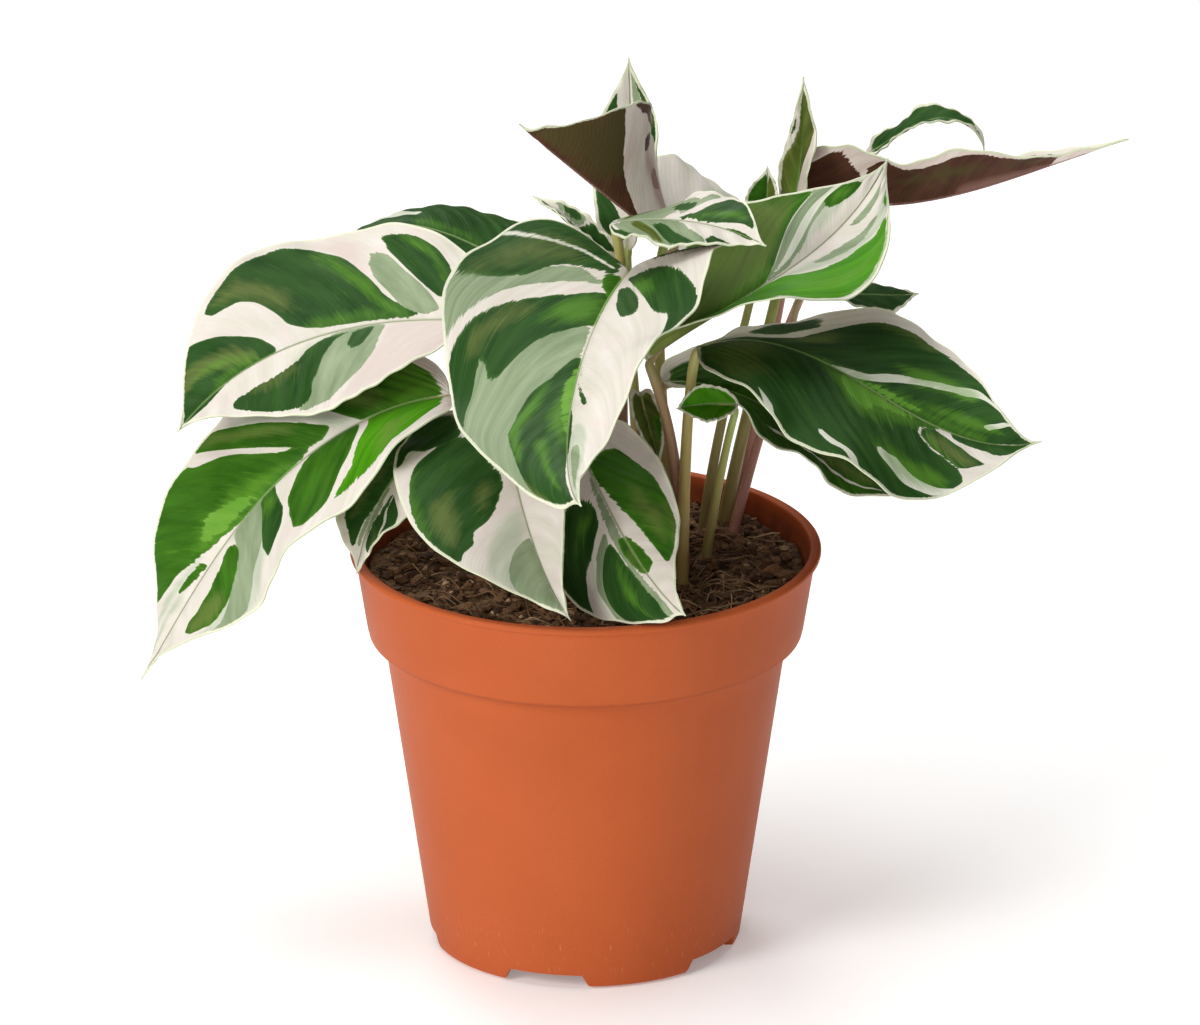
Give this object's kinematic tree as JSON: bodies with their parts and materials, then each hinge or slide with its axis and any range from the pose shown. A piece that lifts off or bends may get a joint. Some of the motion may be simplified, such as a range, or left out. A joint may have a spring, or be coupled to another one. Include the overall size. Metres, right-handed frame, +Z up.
{
  "type": "potted calathea",
  "caption": "Variegated calathea with broad patterned leaves on upright stalks, growing in soil in a round collared plastic nursery pot.",
  "frame": {"origin": "on the ground, under the middle of the plant's bounding box; the pot's axis stands at x = -12.5 mm, y = +15.8 mm", "axes": "+Z up along the pot's axis, -Y to the front of the plant, +X to its right"},
  "size_m": [0.2514, 0.1728, 0.2219],
  "materials": {
    "pot_plastic": "satin terracotta-coloured polypropylene with a faint grain",
    "soil": "loose moist peat with fibres and chips",
    "leaf_cream": "satin leaf, mostly cream with green patches",
    "leaf_dark_green": "satin leaf, dark green with cream bands",
    "leaf_green": "satin leaf, green with cream and grey-green bands",
    "leaf_bright_green": "satin young leaf, bright green with cream sectors",
    "leaf_underside": "satin leaf showing its purple underside",
    "leaf_young": "satin furled leaf, olive brown with a cream margin",
    "petiole": "smooth satin leaf stalk, olive to pinkish brown"
  },
  "bodies": {
    "root": {"pot": "pot_plastic", "soil": "soil", "leaf_front": "leaf_cream", "petiole_front": "petiole", "leaf_left_high": "leaf_dark_green", "petiole_left_high": "petiole", "leaf_left_back": "leaf_dark_green", "petiole_left_back": "petiole", "leaf_left_low": "leaf_green", "petiole_left_low": "petiole", "leaf_left_small": "leaf_dark_green", "petiole_left_small": "petiole", "leaf_front_left": "leaf_cream", "petiole_front_left": "petiole", "leaf_front_right": "leaf_green", "petiole_front_right": "petiole", "leaf_right_large": "leaf_dark_green", "petiole_right_large": "petiole", "leaf_right_back": "leaf_dark_green", "petiole_right_back": "petiole", "leaf_right_bright": "leaf_bright_green", "petiole_right_bright": "petiole", "leaf_top_small": "leaf_green", "petiole_top_small": "petiole", "leaf_top_furled": "leaf_underside", "petiole_top_furled": "petiole", "leaf_top_upright": "leaf_green", "petiole_top_upright": "petiole", "leaf_back_pale": "leaf_cream", "petiole_back_pale": "petiole", "leaf_back_curled": "leaf_young", "petiole_back_curled": "petiole", "leaf_upright_narrow": "leaf_young", "petiole_upright_narrow": "petiole", "leaf_new_shoot": "leaf_young", "petiole_new_shoot": "petiole", "leaf_far_right": "leaf_underside", "petiole_far_right": "petiole", "leaf_far_arch": "leaf_dark_green", "petiole_far_arch": "petiole", "leaf_right_under": "leaf_green", "petiole_right_under": "petiole", "leaf_inner_curl": "leaf_bright_green", "petiole_inner_curl": "petiole", "leaf_inner_small": "leaf_green", "petiole_inner_small": "petiole"}
  },
  "joints": []
}
